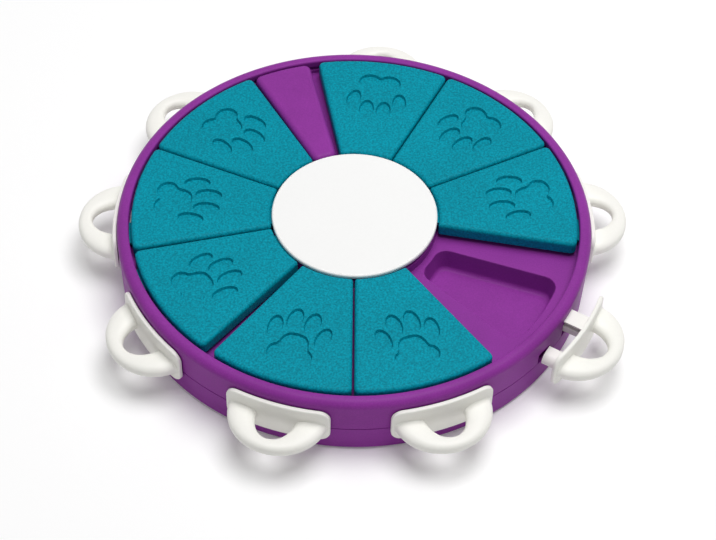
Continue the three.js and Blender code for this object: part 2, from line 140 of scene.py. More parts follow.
def colour(name, description, code):
    return bpy.props.FloatVectorProperty(
        name=name, description=description, size=4, subtype="COLOR", default=srgb(code), min=0, max=1)


class PuzzleTraySizes(bpy.types.PropertyGroup):
    """Sizes of the tray, its wells and the cover under it"""
    radius: length("Radius", "Outer radius at the rim", 0.128)
    height: length("Height", "Height of the rim above the table", 0.0388)
    foot_inset: length("Foot inset", "How much narrower the wall is at the table", 0.001)
    foot_round: length("Foot rounding", "Rounding of the cover's lower edge", 0.003)
    seam: length("Seam height", "Height of the seam between tray and cover", 0.0179)
    seat_gap: length("Seat gap", "Gap between pieces that seat together, and the least rounding", 0.0003)
    wall: length("Wall", "Thickness of the outer wall", 0.0022)
    rim_band: length("Rim width", "Width of the rim, seen from above", 0.0066)
    rim_round: length("Rim rounding", "Rounding of the rim's outer edge", 0.004)
    rim_edge: length("Rim inner rounding", "Rounding of the rim's inner edge", 0.0012)
    groove_depth: length("Groove depth", "Depth of the groove under the rim's lip", 0.0012)
    groove_low: length("Groove floor", "Height of the groove's lower face", 0.0321)
    lip_height: length("Lip height", "Height of the lip's upright face", 0.0042)
    floor: length("Floor height", "Height of the channel's floor", 0.0296)
    floor_thickness: length("Floor thickness", "Thickness of the channel's floor", 0.002)
    pedestal: length("Pedestal radius", "Radius of the pedestal under the hub", 0.0424)
    ledge: length("Ledge width", "Width of the ledge that the blocks ride on", 0.002)
    ledge_high: length("Ledge height", "Height of that ledge", 0.0345)
    well_inner: length("Well inner radius", "Where a well starts, from the axis", 0.048)
    well_outer: length("Well outer radius", "Where a well ends, from the axis", 0.1148)
    well_span: turn("Well span", "Angle that a well takes", 24.8)
    well_pitch: turn("Well pitch", "Angle from one well to the next", 38.1)
    well_depth: length("Well depth", "Depth of a well below the floor", 0.0125)
    well_draft: length("Well draft", "How much a well narrows towards its bottom", 0.0014)
    well_corner: length("Well corner", "Corner radius of a well, seen from above", 0.0072)
    well_lip: length("Well lip", "Rounding of a well's upper edge", 0.0007)
    well_foot: length("Well foot", "Rounding of a well's lower edge", 0.0026)
    wedge_angle: turn("Wedge angle", "Direction of the fixed wedge", 111.65)
    wedge_span: turn("Wedge span", "Angle that the wedge takes", 16.2)
    wedge_end_gap: length("Wedge end gap", "Gap between the wedge and the rim", 0.0004)
    wedge_shoulder: length("Wedge shoulder", "Rounding of the wedge's upper edge", 0.0032)
    wedge_corner: length("Wedge corner", "Corner radius of the wedge", 0.004)


class PuzzleBlockSizes(bpy.types.PropertyGroup):
    """Sizes of the sliding blocks and their paw prints"""
    inner: length("Inner radius", "Where a block starts, from the axis", 0.0456)
    outer: length("Outer radius", "Where a block ends, from the axis", 0.1201)
    span: turn("Span", "Angle of a block's share of the ring", 36.83125)
    side_gap: length("Side gap", "How far a block's sides stand in from its share", 0.00035)
    corner: length("Corner", "Radius of the outer corners, seen from above", 0.0032)
    inner_corner: length("Inner corner", "Radius of the corners at the hub", 0.0016)
    edge: length("Edge rounding", "Rounding of the upper edge", 0.0022)
    foot: length("Foot rounding", "Rounding of the lower edge", 0.0004)
    low: length("Lower face", "Height of the lower face", 0.0322)
    wall: length("Wall", "Thickness of the shell", 0.0022)
    tongue_span: turn("Tongue span", "Angle of the tongue under the hub", 26)
    tongue_inner: length("Tongue tip", "Radius that the tongue reaches inwards to", 0.043)
    tongue_high: length("Tongue upper face", "Height of the tongue's upper face", 0.037)
    rib_outer: length("Rib tip", "Radius that the outer ribs reach to", 0.1222)
    rib_high: length("Rib upper face", "Height of the ribs' upper face", 0.034)
    rib_start: turn("Rib start", "Angle from the block's middle to a rib's near end", 7)
    rib_end: turn("Rib end", "Angle from the block's middle to a rib's far end", 14)
    paw_radius: length("Paw radius", "Distance of the paw print's pad from the axis", 0.0983)
    paw_depth: length("Paw depth", "How deep the paw print is pressed in", 0.0016)
    paw_slope: length("Paw slope", "How far the print's walls lean inwards", 0.0005)


class PuzzleHandleSizes(bpy.types.PropertyGroup):
    """Sizes of the pull handles"""
    pull: length("Pull", "How far the pulled handle stands out", 0.01)
    plate_thickness: length("Plate thickness", "Thickness of the plate", 0.0022)
    plate_span: turn("Plate span", "Angle that the plate takes", 24.8)
    plate_low: length("Plate lower edge", "Height of the plate's lower edge", 0.0112)
    plate_high: length("Plate upper edge", "Height of the plate's upper edge", 0.0329)
    plate_corner: length("Plate corner", "Corner radius of the plate", 0.006)
    plate_edge: length("Plate edge", "Rounding of the plate's outer edge", 0.0009)
    reach: length("Loop reach", "How far the loop stands out of the plate", 0.0205)
    half_width: length("Loop half width", "Half the loop's outer width", 0.026)
    window_reach: length("Window reach", "How far the loop's window stands out", 0.013)
    window_half_width: length("Window half width", "Half the window's width", 0.0105)
    level: length("Loop level", "Height of the loop's middle", 0.0209)
    root_height: length("Root height", "Height of the loop where it meets the plate", 0.009)
    tip_height: length("Tip height", "Height of the loop at its middle", 0.007)
    root_fillet: length("Root fillet", "Rounding between loop and plate", 0.0005)
    tongue_start: length("Tongue start", "Where the tongue starts across the handle", 0)
    tongue_width: length("Tongue width", "Width of the tongue", 0.0095)
    tongue_high: length("Tongue upper face", "Height of the tongue's upper face", 0.0309)
    tongue_tip: length("Tongue tip", "Radius that the tongue reaches inwards to", 0.1129)
    barb_reach: length("Barb reach", "How far the barbs stand out sideways", 0.0009)
    barb_length: length("Barb length", "Length of the barbs", 0.0013)
    bar_tip: length("Bar tip", "Radius that the rib and the bar reach inwards to", 0.1172)
    rib_low: length("Rib lower face", "Height of the rib's lower face", 0.0218)
    rib_high: length("Rib upper face", "Height of the rib's upper face", 0.0273)
    bar_start: length("Bar start", "Where the rounded bar starts across the handle", -0.0224)
    bar_width: length("Bar width", "Width of the rounded bar", 0.0086)
    bar_low: length("Bar lower face", "Height of the bar's lower face", 0.0183)
    bar_high: length("Bar upper face", "Height of the bar's upper face", 0.0249)
    bar_round: length("Bar rounding", "Rounding of the bar's outer upper edge", 0.0044)
    rib_round: length("Rib rounding", "Rounding of the rib's lower edges", 0.0022)


class PuzzleHubSizes(bpy.types.PropertyGroup):
    """Sizes of the hub and of the screws"""
    radius: length("Radius", "Radius of the hub", 0.0447)
    low: length("Lower face", "Height of the hub's lower face", 0.0374)
    high: length("Upper face", "Height of the hub's upper face", 0.0398)
    edge: length("Edge rounding", "Rounding of the hub's upper edge", 0.0011)
    boss_radius: length("Boss radius", "Radius of the hub's bosses", 0.0036)
    screw_circle: length("Hub screw circle", "Distance of the hub's screws from the axis", 0.026)
    screw_length: length("Hub screw length", "Length of the hub's screws", 0.009)
    post_circle: length("Post circle", "Distance of the cover's screws from the axis", 0.1)
    post_radius: length("Post radius", "Radius of the cover's screw posts", 0.0052)
    post_height: length("Post height", "Height of the cover's screw posts", 0.008)
    bore_high: length("Bore top", "Height at which the cover screws' bores end", 0.0163)
    centre_post: length("Centre post radius", "Radius of the post under the hub", 0.016)
    cover_seat: length("Cover screw seat", "Height of the cover screws' bearing face", 0.0047)
    cover_length: length("Cover screw length", "Length of the cover's screws", 0.011)
    shank: length("Shank radius", "Radius of a screw's shank", 0.0014)
    head: length("Head radius", "Radius of a screw's head", 0.0032)
    head_height: length("Head height", "Height of a screw's head", 0.0021)
    head_gap: length("Head gap", "Gap round a screw's head", 0.0006)
    pilot_gap: length("Pilot gap", "Gap round a screw's shank", 0.0003)


class PuzzleColours(bpy.types.PropertyGroup):
    """Colours of the plastics and of the steel"""
    purple: colour("Purple", "Tray and cover", "8c3597")
    turquoise: colour("Turquoise", "Sliding blocks", "038fa4")
    white: colour("White", "Hub", "f7f7f6")
    warm_white: colour("Warm white", "Handles", "f6f5ef")
    steel: colour("Steel", "Screws", "b9bcc0")
    floor: colour("Floor", "Floor under the toy", "fcfcfc")


class PuzzleStageSizes(bpy.types.PropertyGroup):
    """Camera, lights and floor"""
    camera_place: vector("Camera place", "Where the camera stands", (0, -0.68567, 0.792824),
                         unit="LENGTH")
    camera_forward: vector("Camera direction", "The way the camera looks",
                           (0.002554, 0.65066821, -0.75935785), subtype="DIRECTION")
    camera_up: vector("Camera up", "The way the top of the picture points",
                      (-0.02606735, 0.75914561, 0.65039868), subtype="DIRECTION")
    focal_share: number("Focal length share", "Focal length as a share of the picture's width", 2.63966)
    key_place: vector("Key light place", "Where the large light hangs over the toy",
                      (0.25, 0.15, 1.7), unit="LENGTH")
    key_size: length("Key light width", "Width of the large light", 1.2)
    key_power: number("Key light power", "Power of the large light", 25, subtype="POWER")
    fill_place: vector("Fill light place", "Where the small light stands, in front of the toy",
                       (0.5, -0.9, 0.8), unit="LENGTH")
    fill_size: length("Fill light width", "Width of the small light", 0.9)
    fill_power: number("Fill light power", "Power of the small light", 0.1, subtype="POWER")
    sky_strength: number("Sky", "Strength of the even light from all round", 0.25)
    floor_half: length("Floor reach", "Distance from the toy's axis to the floor's sides", 8)
    floor_lift: number("Floor glow", "Glow that keeps the floor white where it is seen", 0.08)


GROUPS = {
    "puzzle_tray": PuzzleTraySizes,
    "puzzle_block": PuzzleBlockSizes,
    "puzzle_handle": PuzzleHandleSizes,
    "puzzle_hub": PuzzleHubSizes,
    "puzzle_colours": PuzzleColours,
    "puzzle_stage": PuzzleStageSizes,
}


# Making and finishing meshes

def linked(name, data):
    """A new object in the scene."""
    made = bpy.data.objects.new(name, data)
    bpy.context.scene.collection.objects.link(made)
    return made


def mesh_object(name, verts, faces):
    mesh = bpy.data.meshes.new(name)
    mesh.from_pydata([tuple(v) for v in verts], [], faces)
    mesh.validate()
    return linked(name, mesh)


def recalculated(made):
    """The object with merged doubles and every face turned outwards."""
    bm = bmesh.new()
    bm.from_mesh(made.data)
    bmesh.ops.remove_doubles(bm, verts=bm.verts, dist=MERGE_DISTANCE)
    bmesh.ops.recalc_face_normals(bm, faces=bm.faces)
    bm.to_mesh(made.data)
    bm.free()
    return made


def skin(name, rings, strips=False):
    """A closed body through rings of equally many points. Each end is one face, or strips across
    it where a ring's second half mirrors its first."""
    count = len(rings[0])
    verts = [point for ring in rings for point in ring]
    faces = []
    for layer in range(len(rings) - 1):
        for i in range(count):
            a, b = layer * count + i, layer * count + (i + 1) % count
            faces.append((a, b, b + count, a + count))
    for start in (0, (len(rings) - 1) * count):
        if strips:
            pairs = [(start + i, start + count - 1 - i) for i in range(count // 2)]
            faces += [(a, c, d, b) for (a, b), (c, d) in zip(pairs, pairs[1:])]
        else:
            faces.append(tuple(range(start, start + count)))
    return recalculated(mesh_object(name, verts, faces))


def lathe(name, profile, flats=DISC_FLATS):
    """A profile of (radius, height) points turned round the axis. It closes on itself or on the axis."""
    verts, rows = [], []
    for radius, height in profile:
        if radius == 0:
            rows.append([len(verts)] * flats)
            verts.append((0, 0, height))
            continue
        rows.append(list(range(len(verts), len(verts) + flats)))
        for i in range(flats):
            angle = FULL_TURN * i / flats
            verts.append((radius * math.cos(angle), radius * math.sin(angle), height))
    faces = []
    for near, far in zip(rows, rows[1:] + rows[:1]):
        for i in range(flats):
            j = (i + 1) % flats
            corners = [near[i], near[j], far[j], far[i]]
            face = tuple(dict.fromkeys(corners))
            if len(face) > 2:
                faces.append(face)
    return recalculated(mesh_object(name, verts, faces))


def arc(centre_x, centre_y, radius, start, end, flats):
    angles = [start + (end - start) * i / flats for i in range(flats + 1)]
    return [(centre_x + radius * math.cos(a), centre_y + radius * math.sin(a)) for a in angles]


def rounded(corners):
    """A closed outline through (x, y, radius) corners, each rounded by its own radius."""
    outline = []
    for i, (x, y, radius) in enumerate(corners):
        if radius == 0:
            outline.append((x, y))
            continue
        corner = Vector((x, y))
        back = (Vector(corners[i - 1][:2]) - corner).normalized()
        ahead = (Vector(corners[(i + 1) % len(corners)][:2]) - corner).normalized()
        half = back.angle(ahead) / 2
        centre = corner + (back + ahead).normalized() * (radius / math.sin(half))
        first = corner + back * (radius / math.tan(half)) - centre
        last = corner + ahead * (radius / math.tan(half)) - centre
        start = math.atan2(first.y, first.x)
        sweep = (math.atan2(last.y, last.x) - start + math.pi) % FULL_TURN - math.pi
        flats = 2 + int(radius / ROUND_STEP)
        outline += arc(centre.x, centre.y, radius, start, start + sweep, flats)
    return outline


def sector(inner, outer, span, corner, inset=0.0, flats=ARC_FLATS, near_corner=None):
    """A slice of a ring about the +X direction with rounded corners, moved in by inset. near_corner
    rounds the two corners nearer the axis. A corner keeps at least a quarter of its radius."""
    half, upper = span / 2, span / 2 + math.pi / 2
    far_round, near_round = (max(c - inset, c / 4) for c in (corner, near_corner or corner))
    far, near = outer - inset - far_round, inner + inset + near_round
    far_angle = half - math.asin((inset + far_round) / far)
    near_angle = half - math.asin((inset + near_round) / near)

    def corner_at(reach, angle, radius, start, end):
        x, y = reach * math.cos(angle), reach * math.sin(angle)
        return arc(x, y, radius, start, end, CORNER_FLATS)

    return (arc(0, 0, outer - inset, -far_angle, far_angle, flats)
            + corner_at(far, far_angle, far_round, far_angle, upper)[1:]
            + corner_at(near, near_angle, near_round, upper, near_angle + math.pi)
            + arc(0, 0, inner + inset, near_angle, -near_angle, flats // 2)[1:]
            + corner_at(near, -near_angle, near_round, math.pi - near_angle, FULL_TURN - upper)[1:]
            + corner_at(far, -far_angle, far_round, -upper, -far_angle)[:-1])


def round_over(radius, flats=EDGE_FLATS):
    """(inset, rise) pairs from an upright wall over to a flat top."""
    angles = [math.pi / 2 * i / flats for i in range(flats + 1)]
    return [(radius * (1 - math.cos(a)), radius * math.sin(a)) for a in angles]


def stacked(name, outline_at, steps, angle=0.0):
    """A body through the outline at each (inset, height) step, turned about the axis."""
    cos, sin = math.cos(angle), math.sin(angle)
    return skin(name, [[(x * cos - y * sin, x * sin + y * cos, height) for x, y in outline_at(inset)]
                       for inset, height in steps])


def slab(name, outline, low, high, angle=0.0):
    """A body with upright sides from one height to another, turned about the axis."""
    return stacked(name, lambda inset: outline, [(0, low), (0, high)], angle)


def box(x0, x1, y0, y1, low, high, angle=0.0):
    """A box between two places along x, along y and in height, turned about the axis."""
    return slab("box", [(x0, y0), (x1, y0), (x1, y1), (x0, y1)], low, high, angle)


def joined(name, objects):
    """One object that holds the meshes of several."""
    bm = bmesh.new()
    for made in objects:
        bm.from_mesh(made.data)
        bpy.data.objects.remove(made)
    mesh = bpy.data.meshes.new(name)
    bm.to_mesh(mesh)
    bm.free()
    return linked(name, mesh)


def settled(made):
    """The object with its modifiers turned into plain mesh."""
    evaluated = made.evaluated_get(bpy.context.evaluated_depsgraph_get())
    mesh = bpy.data.meshes.new_from_object(evaluated)
    made.modifiers.clear()
    made.data = mesh
    return made


def combined(made, operation, tools):
    """The object joined with the tools or cut by them, one boolean for all."""
    tool = joined("tool", tools)
    change = made.modifiers.new("combine", "BOOLEAN")
    change.operation = operation
    change.solver = "MANIFOLD"
    change.object = tool
    settled(made)
    bpy.data.objects.remove(tool)
    return made


def united(made, tools):
    return combined(made, "UNION", tools)


def cut(made, tools):
    return combined(made, "DIFFERENCE", tools)


def smoothed(made):
    """Smooth shading with crisp edges, where large faces keep their own direction."""
    made.data.shade_smooth()
    made.data.set_sharp_from_angle(angle=SHARP_ANGLE)
    weighted = made.modifiers.new("weighted", "WEIGHTED_NORMAL")
    weighted.keep_sharp = True
    return settled(made)


def finished(made, look, slot, body, *nodes):
    """Gives a piece its material and its body, and hides the model's nodes that it stands for."""
    made.data.materials.clear()
    made.data.materials.append(look)
    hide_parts(*nodes)
    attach(made, body)
    return made


# Materials

def add_node(tree, kind, links=None, **settings):
    """Adds a node. Settings name its attributes. Links name its inputs, each with a value, a socket
    or a node whose first output is taken."""
    node = tree.nodes.new(kind)
    for key, value in settings.items():
        setattr(node, key, value)
    for key, value in (links or {}).items():
        if isinstance(value, bpy.types.Node):
            value = next(output for output in value.outputs if output.enabled)
        if isinstance(value, bpy.types.NodeSocket):
            tree.links.new(value, node.inputs[key])
        else:
            node.inputs[key].default_value = value
    return node


def blank_material(name):
    look = bpy.data.materials.get(name)
    if look:
        return look, None
    look = bpy.data.materials.new(name)
    look.use_nodes = True
    look.node_tree.nodes.clear()
    return look, look.node_tree


def shaded(colour_value, share):
    """A colour made darker or lighter by a share."""
    return (*(min(1.0, c * share) for c in colour_value[:3]), 1.0)


def moulded_plastic(name, base, gloss, roughness, grain, grain_depth, mottle, speck):
    """Injection-moulded plastic. gloss is its specular level, grain the size of the mould's texture
    and grain_depth its depth, both in metres; mottle and speck are the shares by which the colour
    varies. Real grain is too fine for the picture, so it is drawn as coarse as it needs to show."""
    look, tree = blank_material(name)
    if tree is None:
        return look
    place = add_node(tree, "ShaderNodeTexCoord").outputs["Object"]
    fine = add_node(tree, "ShaderNodeTexNoise", {
        "Vector": place, "Scale": 1 / grain, "Detail": 3.0, "Roughness": 0.65})
    broad = add_node(tree, "ShaderNodeTexNoise", {
        "Vector": place, "Scale": 1 / (grain * CLOUD_GRAINS), "Detail": 2.0, "Roughness": 0.5})
    specks = add_node(tree, "ShaderNodeMapRange", {
        "Value": fine, "From Min": SPECK_RANGE[0], "From Max": SPECK_RANGE[1]})
    # Darker and lighter specks of the grain. Where speck is large, as in the turquoise, the lighter specks
    # are partly painted glints as well as the grain's own tone.
    speckled = add_node(tree, "ShaderNodeMix", {
        "Factor": specks, "A": shaded(base, 1 - speck), "B": shaded(base, 1 + speck)}, data_type="RGBA")
    clouds = add_node(tree, "ShaderNodeMapRange", {
        "Value": broad, "From Min": CLOUD_RANGE[0], "From Max": CLOUD_RANGE[1],
        "To Min": 1 - mottle, "To Max": 1 + mottle})
    tinted = add_node(tree, "ShaderNodeVectorMath", {0: speckled, "Scale": clouds}, operation="SCALE")
    dull = add_node(tree, "ShaderNodeMapRange", {
        "Value": fine, "From Min": CLOUD_RANGE[0], "From Max": CLOUD_RANGE[1],
        "To Min": roughness * (1 - ROUGHNESS_SPREAD), "To Max": roughness * (1 + ROUGHNESS_SPREAD)})
    bump = add_node(tree, "ShaderNodeBump", {"Height": fine, "Distance": grain_depth, "Strength": 1.0})
    surface = add_node(tree, "ShaderNodeBsdfPrincipled", {
        "Base Color": tinted, "Roughness": dull, "Normal": bump, "Specular IOR Level": gloss})
    add_node(tree, "ShaderNodeOutputMaterial", {"Surface": surface})
    return look


def spark_textured_abs(context):
    """Turquoise ABS from a spark-eroded mould: dull, with a crisp grain that glints all over; its lighter
    specks of colour are partly painted glints.
    """
    return moulded_plastic(
        "Spark-textured turquoise ABS", context.scene.puzzle_colours.turquoise,
        gloss=0.06, roughness=0.5, grain=0.0011, grain_depth=0.00018, mottle=0.04, speck=0.3)


def satin_polypropylene(context):
    """Purple polypropylene from a finely blasted mould: satin, with soft clouds of colour."""
    return moulded_plastic(
        "Satin purple polypropylene", context.scene.puzzle_colours.purple,
        gloss=0.1, roughness=0.42, grain=0.0008, grain_depth=0.00006, mottle=0.08, speck=0.08)


def smooth_polypropylene(context):
    """Warm white polypropylene from a plain mould: smooth and soft, with a low gloss."""
    return moulded_plastic(
        "Smooth warm white polypropylene", context.scene.puzzle_colours.warm_white,
        gloss=0.3, roughness=0.36, grain=0.0014, grain_depth=0.00002, mottle=0.012, speck=0.008)


def smooth_abs(context):
    """White ABS from a plain mould: bright, even and a little glossy."""
    return moulded_plastic(
        "Smooth white ABS", context.scene.puzzle_colours.white,
        gloss=0.3, roughness=0.34, grain=0.0014, grain_depth=0.00002, mottle=0.008, speck=0.006)


def zinc_plated_steel(context):
    """Zinc-plated screw steel: bright metal with the faint haze that plating leaves."""
    look, tree = blank_material("Zinc-plated steel")
    if tree is None:
        return look
    place = add_node(tree, "ShaderNodeTexCoord").outputs["Object"]
    haze = add_node(tree, "ShaderNodeTexNoise", {"Vector": place, "Scale": 1 / HAZE_SIZE, "Detail": 4.0})
    dull = add_node(tree, "ShaderNodeMapRange", {
        "Value": haze, "To Min": HAZE_ROUGHNESS[0], "To Max": HAZE_ROUGHNESS[1]})
    surface = add_node(tree, "ShaderNodeBsdfPrincipled", {
        "Base Color": tuple(context.scene.puzzle_colours.steel), "Metallic": 1.0, "Roughness": dull})
    add_node(tree, "ShaderNodeOutputMaterial", {"Surface": surface})
    return look


# Tray and cover

def well_angle(tray, index):
    spare = FULL_TURN - len(HANDLE_NAMES) * tray.well_pitch
    return tray.wedge_angle + spare / 2 + (index + 0.5) * tray.well_pitch


def wall_radius(tray, height):
    return tray.radius - tray.foot_inset * (1 - height / tray.height)


def tray_ring(tray, hub):
    """The tray turned on the axis: outer wall, rim, grooved inner wall, floor and pedestal."""
    inside = tray.radius - tray.rim_band
    under = tray.floor - tray.floor_thickness
    hollow = inside + tray.groove_depth + tray.wall
    seam_radius = wall_radius(tray, tray.seam)
    ceiling = tray.height - tray.wall
    pedestal_high = hub.low - tray.seat_gap
    return lathe("purple_tray", rounded([
        (0, tray.floor, 0),
        (tray.pedestal - tray.wall, tray.floor, tray.seat_gap),
        (tray.pedestal - tray.wall, pedestal_high, 0),
        (tray.pedestal, pedestal_high, tray.seat_gap),
        (tray.pedestal, tray.ledge_high, 0),
        (tray.pedestal + tray.ledge, tray.ledge_high, tray.seat_gap),
        (tray.pedestal + tray.ledge, tray.floor, tray.seat_gap),
        (inside, tray.floor, tray.seat_gap),
        (inside, tray.groove_low, tray.seat_gap),
        (inside + tray.groove_depth, tray.groove_low, 0),
        (inside + tray.groove_depth, tray.height - tray.lip_height - tray.groove_depth / 2, 0),
        (inside, tray.height - tray.lip_height, tray.seat_gap),
        (inside, tray.height, tray.rim_edge),
        (tray.radius, tray.height, tray.rim_round),
        (seam_radius, tray.seam, tray.seat_gap),
        (seam_radius - tray.wall, tray.seam, 0),
        (tray.radius - tray.wall, ceiling, 0),
        (hollow, ceiling, 0),
        (hollow, under, 0),
        (0, under, 0),
    ]))


def well_body(tray, name, steps, angle):
    """A body with a well's outline at each (inset, height) step."""
    def outline_at(inset):
        return sector(tray.well_inner, tray.well_outer, tray.well_span, tray.well_corner, inset)

    return stacked(name, outline_at, steps, angle)


def well_hollow(tray, angle):
    """The hollow of one well, rounded at its foot and flared at its lip."""
    low = tray.floor - tray.well_depth
    foot = [(tray.well_draft + tray.well_foot - rise, low + inset)
            for inset, rise in round_over(tray.well_foot)]
    lip = [(-inset, tray.floor - tray.well_lip + rise) for inset, rise in round_over(tray.well_lip)]
    return well_body(tray, "well", foot + lip + [(-tray.well_lip, tray.floor + OVERRUN)], angle)


def well_cup(tray, angle):
    """The outside of one well, under the floor."""
    low = tray.floor - tray.well_depth - tray.wall
    high = tray.floor - tray.floor_thickness / 2
    return well_body(tray, "cup", [(tray.well_draft - tray.wall, low), (-tray.wall, high)], angle)


def wedge_pad(tray, block):
    """The fixed wedge: a pad with soft shoulders that stands on the floor."""
    outer = tray.radius - tray.rim_band - tray.wedge_end_gap
    foot = [(0, tray.floor - tray.floor_thickness / 2)]
    shoulder = [(inset, tray.height - tray.wedge_shoulder + rise)
                for inset, rise in round_over(tray.wedge_shoulder, CORNER_FLATS)]

    def outline_at(inset):
        return sector(block.inner, outer, tray.wedge_span, tray.wedge_corner, inset)

    return stacked("wedge", outline_at, foot + shoulder, tray.wedge_angle)


def prong_slots(tray, handle, angle):
    """The slots in the wall that one handle's tongue, rib and bar slide in."""
    gap = tray.seat_gap
    wall_face = tray.radius - tray.wall
    inside = tray.radius - tray.rim_band - tray.floor_thickness
    outside = tray.radius + OVERRUN
    low = tray.seam - OVERRUN
    top = handle.tongue_high + gap
    left, right = handle.tongue_start - gap, handle.tongue_start + handle.tongue_width + gap
    bar_left, bar_right = handle.bar_start - gap, handle.bar_start + handle.bar_width + gap
    barb = handle.barb_reach
    return [
        box(inside, wall_face, left - barb, right + barb, tray.floor, top, angle),
        box(wall_face - OVERRUN, outside, left, right, tray.floor, top, angle),
        box(handle.bar_tip, outside, left, right, low, handle.rib_high + gap, angle),
        box(handle.bar_tip, outside, bar_left, bar_right, low, handle.bar_high + gap, angle),
    ]


def cover_screw_angles(tray):
    """The cover's screws stand under the wedge and between wells."""
    between = [well_angle(tray, index) + tray.well_pitch / 2 for index in SCREW_WELLS]
    return [tray.wedge_angle] + between


def hub_screw_angles():
    return [FULL_TURN * i / HUB_SCREWS for i in range(HUB_SCREWS)]


def pins(angles, circle, radius, low, high):
    """Upright cylinders on a circle round the axis."""
    made = []
    for angle in angles:
        x, y = circle * math.cos(angle), circle * math.sin(angle)
        made.append(slab("pin", arc(x, y, radius, 0, FULL_TURN, SCREW_FLATS)[:-1], low, high))
    return made


def build_tray(tray, block, handle, hub):
    angles = [well_angle(tray, i) for i in range(len(HANDLE_NAMES))]
    made = united(tray_ring(tray, hub), [well_cup(tray, a) for a in angles])
    united(made, [wedge_pad(tray, block)])
    under = tray.floor - tray.floor_thickness
    screws, bore = cover_screw_angles(tray), hub.shank + hub.pilot_gap
    low, high = hub.post_height + tray.seat_gap, under + tray.floor_thickness / 2
    united(made, pins(screws, hub.post_circle, hub.boss_radius, low, high))
    cut(made, pins(screws, hub.post_circle, bore, low - OVERRUN, hub.bore_high))
    cut(made, pins(hub_screw_angles(), hub.screw_circle, bore, under - OVERRUN, tray.floor + OVERRUN))
    cut(made, [well_hollow(tray, a) for a in angles])
    for slots in zip(*[prong_slots(tray, handle, a) for a in angles]):
        cut(made, slots)
    return smoothed(made)


def build_cover(tray, hub):
    """The dish under the tray, with posts for the screws and a wide one under the hub."""
    seam = tray.seam - tray.seat_gap
    foot_radius, seam_radius = wall_radius(tray, 0), wall_radius(tray, seam)
    made = lathe("purple_cover", rounded([
        (0, 0, 0),
        (foot_radius, 0, tray.foot_round),
        (seam_radius, seam, tray.seat_gap),
        (seam_radius - tray.wall, seam, tray.seat_gap),
        (foot_radius - tray.wall, tray.wall, tray.foot_round),
        (0, tray.wall, 0),
    ]))
    high = tray.floor - tray.floor_thickness - tray.seat_gap
    post = lathe("post", [
        (hub.centre_post - tray.wall, tray.wall / 2), (hub.centre_post, tray.wall / 2),
        (hub.centre_post, high), (hub.centre_post - tray.wall, high)], POST_FLATS)
    united(made, [post])
    screws, seat = cover_screw_angles(tray), hub.cover_seat + tray.seat_gap
    bore, recess = hub.shank + hub.pilot_gap, hub.head + hub.head_gap
    united(made, pins(screws, hub.post_circle, hub.post_radius, tray.wall / 2, hub.post_height))
    cut(made, pins(screws, hub.post_circle, recess, -OVERRUN, seat))
    cut(made, pins(screws, hub.post_circle, bore, 0, hub.post_height + OVERRUN))
    return smoothed(made)


# Hub and screws

def build_hub(tray, hub):
    """A bare disc with a soft edge and three bosses under it."""
    made = lathe("white_hub", rounded([
        (0, hub.low, 0),
        (hub.radius, hub.low, tray.seat_gap),
        (hub.radius, hub.high, hub.edge),
        (0, hub.high, 0),
    ]))
    low, bore = tray.floor + tray.seat_gap, hub.shank + hub.pilot_gap
    angles, circle = hub_screw_angles(), hub.screw_circle
    united(made, pins(angles, circle, hub.boss_radius, low, (hub.low + hub.high) / 2))
    cut(made, pins(angles, circle, bore, low - OVERRUN, hub.low))
    return smoothed(made)


def build_screw(hub, length_of_shank):
    """A pan-head screw, head down, with its bearing face at height zero and a cross recess."""
    head, high = hub.head, hub.head_height
    made = lathe("screw", rounded([
        (0, -high, 0),
        (head, -high, high / 2),
        (head, 0, HEAD_EDGE),
        (hub.shank, 0, 0),
        (hub.shank, length_of_shank, hub.shank / 2),
        (0, length_of_shank, 0),
    ]), SCREW_FLATS)
    arm, half = head * CROSS_ARM_SHARE, head * CROSS_HALF_WIDTH_SHARE
    for x, y in ((arm, half), (half, arm)):
        cut(made, [box(-x, x, -y, y, -high - OVERRUN, -high / 2)])
    return smoothed(made)


# Sliding blocks

def smooth_closed(points, flats=EDGE_FLATS):
    """A closed smooth curve through the points."""
    curve = []
    for i in range(len(points)):
        a, b, c, d = (Vector(points[(i + k) % len(points)]) for k in (-1, 0, 1, 2))
        for t in (j / flats for j in range(flats)):
            bend = 2 * a - 5 * b + 4 * c - d
            curve.append((2 * b + (c - a) * t + bend * t ** 2 + (3 * b - 3 * c + d - a) * t ** 3) / 2)
    return curve


def moved_in(outline, inset):
    """An anticlockwise outline with each point moved inwards."""
    moved = []
    for i, point in enumerate(outline):
        ahead = outline[(i + 1) % len(outline)] - outline[i - 1]
        moved.append(point + Vector((-ahead.y, ahead.x)).normalized() * inset)
    return moved


def paw_outlines(block):
    """The outlines of the paw print's four toes and its pad."""
    outlines = []
    for along, across, toe_length, toe_width, lean in PAW_TOES:
        x = block.paw_radius + along
        turned = Matrix.Rotation(math.radians(lean), 2)
        ellipse = arc(0, 0, 1, 0, FULL_TURN, 4 * CORNER_FLATS)[:-1]
        outlines.append([turned @ Vector((u * toe_length / 2, v * toe_width / 2)) + Vector((x, across))
                         for u, v in ellipse])
    mirrored = [(along, -across) for along, across in PAW_PAD[1:-1]]
    pad = [(block.paw_radius + along, across) for along, across in [*mirrored, *PAW_PAD[::-1]]]
    return outlines + [smooth_closed(pad)]


def paw_press(block, top):
    """The tools that press the paw print into the top, with walls that lean inwards."""
    half = block.paw_slope / 2
    steps = [(half, top - block.paw_depth), (-half, top), (-half, top + OVERRUN)]
    return [stacked("paw", lambda inset, outline=outline: moved_in(outline, inset), steps)
            for outline in paw_outlines(block)]


def block_outline(block, inset):
    """The block's outline, with sides that stand in from its share so that its gaps are even."""
    side = block.side_gap
    return sector(block.inner - side, block.outer + side, block.span, block.corner + side,
                  side + inset, near_corner=block.inner_corner + side)


